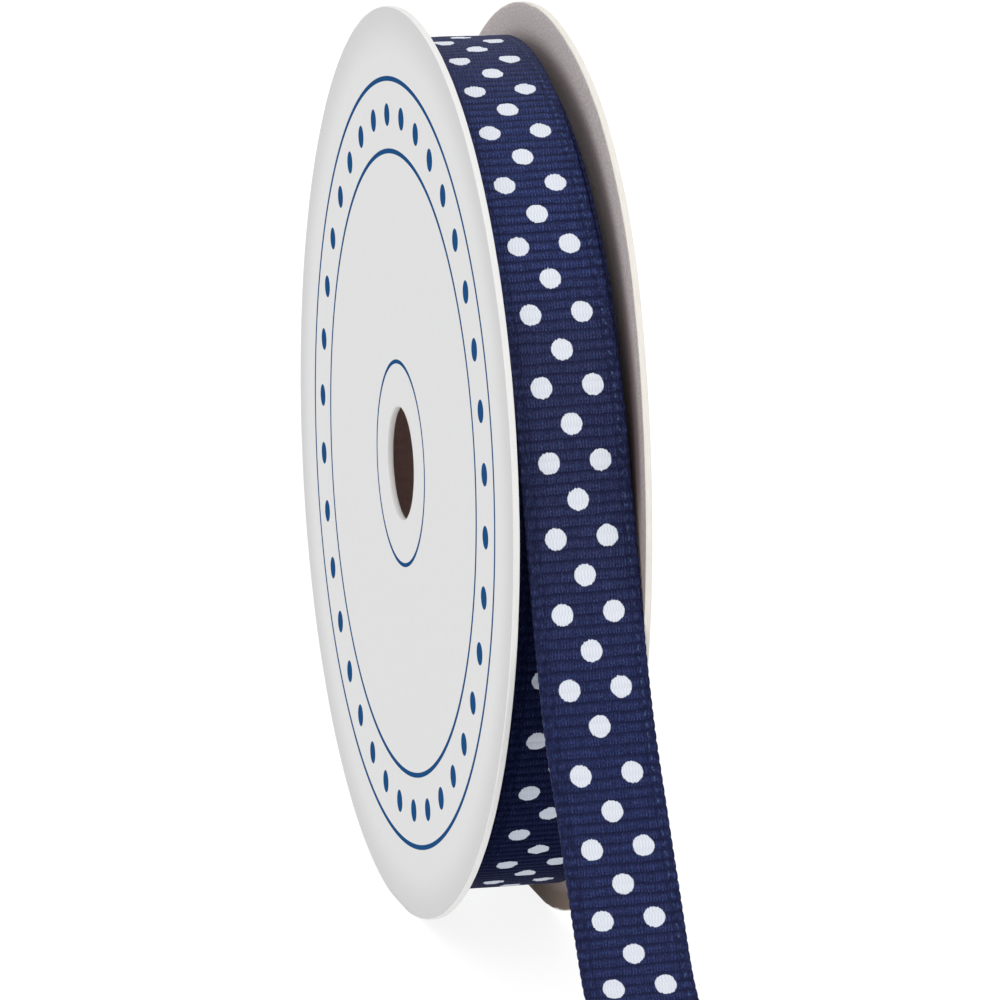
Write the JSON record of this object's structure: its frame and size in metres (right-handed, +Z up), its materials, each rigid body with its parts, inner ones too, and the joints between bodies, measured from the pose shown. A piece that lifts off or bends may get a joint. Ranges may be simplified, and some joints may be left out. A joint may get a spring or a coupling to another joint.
{
  "type": "spool of grosgrain ribbon",
  "caption": "Narrow ribbed ribbon wound on a board core between round card discs, standing on its rims with its loose end hanging forward to the table.",
  "frame": {"origin": "bottom centre of the whole part's bounding box, on the table", "axes": "+Z up; the spool's axis runs along X, the near disc, with the white coated face, faces -X, and the loose end hangs off the front towards -Y"},
  "size_m": [0.0134, 0.1322, 0.0858],
  "materials": {
    "coated_card": "white coated card, satin",
    "card": "grey speckled card, matt, with a cream cut edge",
    "core_board": "brown kraft board, matt",
    "ribbon": "navy grosgrain with white printed dots, fine cross ribs"
  },
  "bodies": {
    "root": {"disc_near": "coated_card", "disc_far": "card", "core": "core_board", "ribbon_roll": "ribbon", "ribbon_tail": "ribbon"}
  },
  "joints": []
}
